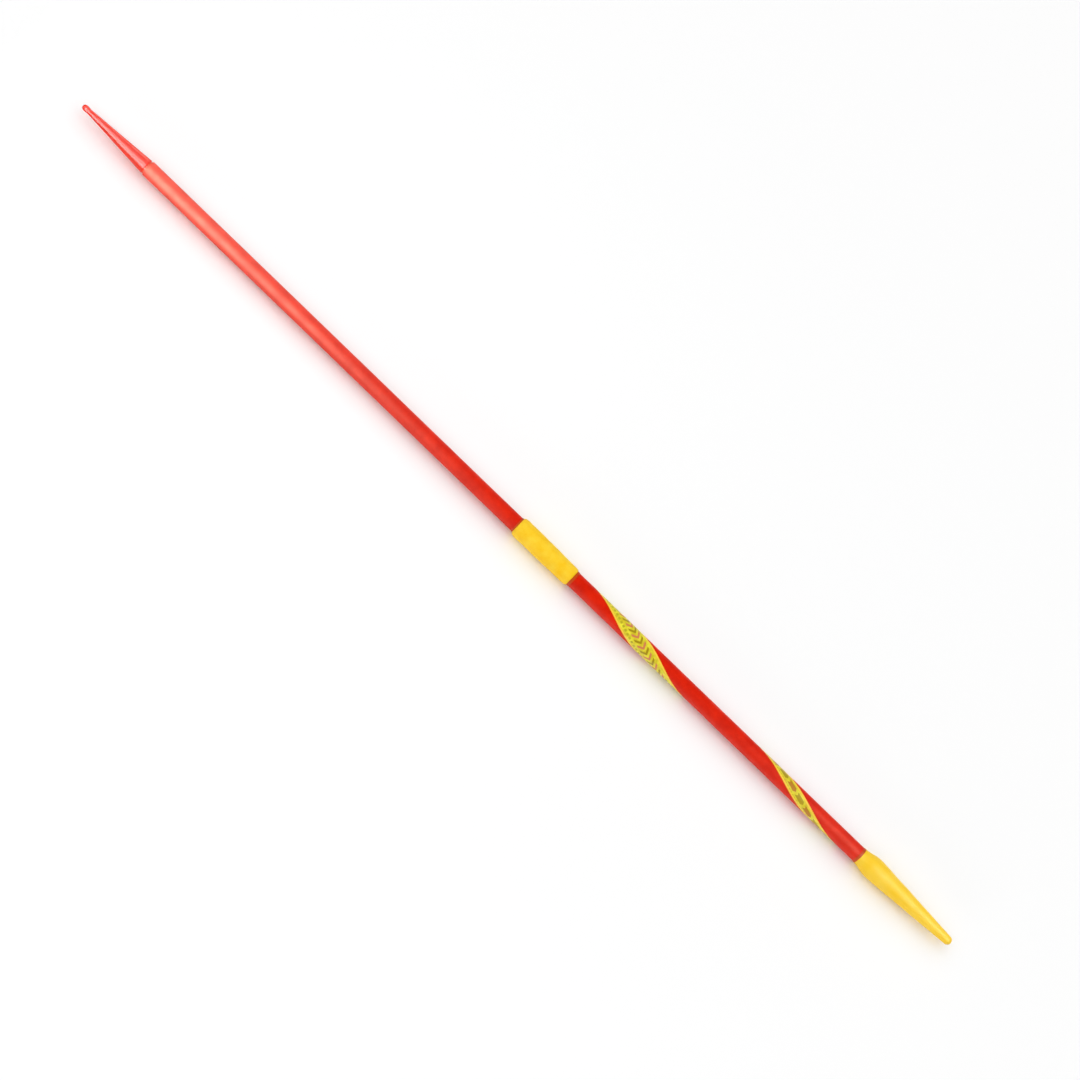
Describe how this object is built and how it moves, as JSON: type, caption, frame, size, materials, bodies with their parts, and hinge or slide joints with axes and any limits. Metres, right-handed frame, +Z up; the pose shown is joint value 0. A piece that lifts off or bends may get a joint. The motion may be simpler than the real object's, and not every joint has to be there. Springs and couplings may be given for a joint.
{
  "type": "training javelin",
  "caption": "Training javelin: slim coated tube with a soft rubber nose, a smooth rubber grip sleeve, a tapered plastic tail and slanting film labels.",
  "frame": {"origin": "under the middle of the javelin's length, on the surface that the nose's widest ring rests on", "axes": "+X along the shaft towards the nose, +Z up"},
  "size_m": [1.75, 0.0344, 0.0343],
  "materials": {
    "painted_aluminium": "satin",
    "red_plastic": "gloss",
    "bare_steel": "satin",
    "yellow_rubber": "matte",
    "printed_film": "satin",
    "turned_beech": "matte"
  },
  "bodies": {
    "root": {"shaft_tube": "painted_aluminium", "tail_cone": "red_plastic", "tail_counterweight": "bare_steel", "grip_sleeve": "yellow_rubber", "label_wide": "printed_film", "label_narrow": "printed_film", "nose_plug": "turned_beech", "nose_boot": "yellow_rubber"}
  },
  "joints": []
}
